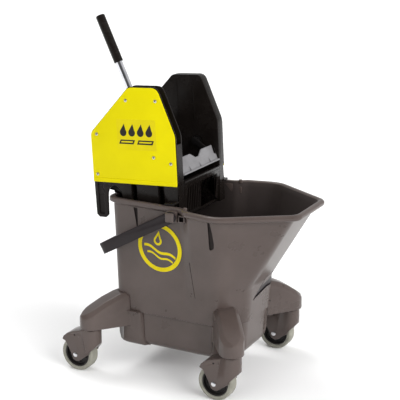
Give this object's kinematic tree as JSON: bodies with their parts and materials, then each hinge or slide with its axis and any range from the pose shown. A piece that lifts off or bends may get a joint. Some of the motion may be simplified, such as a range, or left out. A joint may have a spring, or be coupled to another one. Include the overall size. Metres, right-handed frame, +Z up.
{
  "type": "mop bucket with wringer",
  "caption": "Wheeled cleaning bucket with a pouring nose, a drop bail and a lift-off down-press mop wringer worked by a side lever, on swivelling castors.",
  "frame": {"origin": "on the floor, under the middle of the assembly's bounding box", "axes": "+X towards the pouring nose, +Y towards the side without the lever, +Z up"},
  "size_m": [0.503, 0.3518, 0.7517],
  "materials": {
    "grey_plastic": "satin, lightly textured",
    "dark_grey_plastic": "satin",
    "black_plastic": "satin",
    "yellow_plastic": "smooth",
    "label_vinyl": "thin printed label",
    "pale_grey_plastic": "satin",
    "grey_rubber": "smooth tread",
    "steel": "zinc plated",
    "chrome": "polished",
    "black_steel": "black coating"
  },
  "bodies": {
    "bucket": {"bucket": "grey_plastic", "side_sticker": "label_vinyl", "bail_pin_right": "grey_plastic", "bail_pin_left": "grey_plastic", "leg_rear_right": "grey_plastic", "leg_rear_left": "grey_plastic", "leg_front_right": "grey_plastic", "leg_front_left": "grey_plastic", "castor_stem_rear_right": "steel", "castor_stem_rear_left": "steel", "castor_stem_front_right": "steel", "castor_stem_front_left": "steel"},
    "bail": {"bail_handle": "grey_plastic"},
    "castor_rear_right": {"castor_housing_rear_right": "grey_plastic", "castor_axle_rear_right": "steel"},
    "wheel_rear_right": {"castor_hub_rear_right": "dark_grey_plastic", "castor_tyre_rear_right": "grey_rubber"},
    "castor_rear_left": {"castor_housing_rear_left": "grey_plastic", "castor_axle_rear_left": "steel"},
    "wheel_rear_left": {"castor_hub_rear_left": "dark_grey_plastic", "castor_tyre_rear_left": "grey_rubber"},
    "castor_front_right": {"castor_housing_front_right": "grey_plastic", "castor_axle_front_right": "steel"},
    "wheel_front_right": {"castor_hub_front_right": "dark_grey_plastic", "castor_tyre_front_right": "grey_rubber"},
    "castor_front_left": {"castor_housing_front_left": "grey_plastic", "castor_axle_front_left": "steel"},
    "wheel_front_left": {"castor_hub_front_left": "dark_grey_plastic", "castor_tyre_front_left": "grey_rubber"},
    "wringer": {"wringer_basket": "black_plastic", "casing_right": "black_plastic", "casing_left": "black_plastic", "cover_right": "yellow_plastic", "cover_left": "yellow_plastic", "shaft_bush_right": "pale_grey_plastic", "shaft_bush_left": "pale_grey_plastic", "pivot_screw_right": "steel", "pivot_screw_left": "steel", "screw_front_left": "steel", "screw_front_right": "steel", "screw_low_rear_left": "steel", "screw_low_rear_right": "steel", "screw_rear_left": "steel", "screw_rear_right": "steel", "screw_top_front_left": "steel", "screw_top_front_right": "steel", "screw_top_rear_left": "steel", "screw_top_rear_right": "steel", "return_spring": "steel"},
    "lever": {"lever_shaft_right": "steel", "lever_shaft_left": "steel", "press_arm_right": "black_steel", "press_arm_left": "black_steel", "press_plate": "pale_grey_plastic", "lever_hub": "black_steel", "lever_tube": "chrome", "lever_grip": "black_plastic"}
  },
  "joints": [
    {"name": "bail_swing", "type": "hinge", "parent": "bucket", "child": "bail", "pos_m": [0.004, 0, 0.363], "axis": [0, 1, 0], "range_deg": [0, 12]},
    {"name": "swivel_rear_right", "type": "hinge", "parent": "bucket", "child": "castor_rear_right", "pos_m": [-0.183, -0.151, 0.0985], "axis": [0, 0, 1], "continuous": true},
    {"name": "wheel_spin_rear_right", "type": "hinge", "parent": "castor_rear_right", "child": "wheel_rear_right", "pos_m": [-0.214, -0.151, 0.0375], "axis": [0, 1, 0], "continuous": true},
    {"name": "swivel_rear_left", "type": "hinge", "parent": "bucket", "child": "castor_rear_left", "pos_m": [-0.183, 0.151, 0.0985], "axis": [0, 0, 1], "continuous": true},
    {"name": "wheel_spin_rear_left", "type": "hinge", "parent": "castor_rear_left", "child": "wheel_rear_left", "pos_m": [-0.214, 0.151, 0.0375], "axis": [0, 1, 0], "continuous": true},
    {"name": "swivel_front_right", "type": "hinge", "parent": "bucket", "child": "castor_front_right", "pos_m": [0.145, -0.151, 0.0985], "axis": [0, 0, 1], "continuous": true},
    {"name": "wheel_spin_front_right", "type": "hinge", "parent": "castor_front_right", "child": "wheel_front_right", "pos_m": [0.114, -0.151, 0.0375], "axis": [0, 1, 0], "continuous": true},
    {"name": "swivel_front_left", "type": "hinge", "parent": "bucket", "child": "castor_front_left", "pos_m": [0.145, 0.151, 0.0985], "axis": [0, 0, 1], "continuous": true},
    {"name": "wheel_spin_front_left", "type": "hinge", "parent": "castor_front_left", "child": "wheel_front_left", "pos_m": [0.114, 0.151, 0.0375], "axis": [0, 1, 0], "continuous": true},
    {"name": "wringer_lift", "type": "slide", "parent": "bucket", "child": "wringer", "axis": [0, 0, 1], "range_m": [0, 0.25]},
    {"name": "lever_press", "type": "hinge", "parent": "wringer", "child": "lever", "pos_m": [-0.05228, 0, 0.47148], "axis": [0, 1, 0], "range_deg": [0, 75], "stiffness_Nm_per_rad": 0.8, "springref_deg": -20.05}
  ]
}
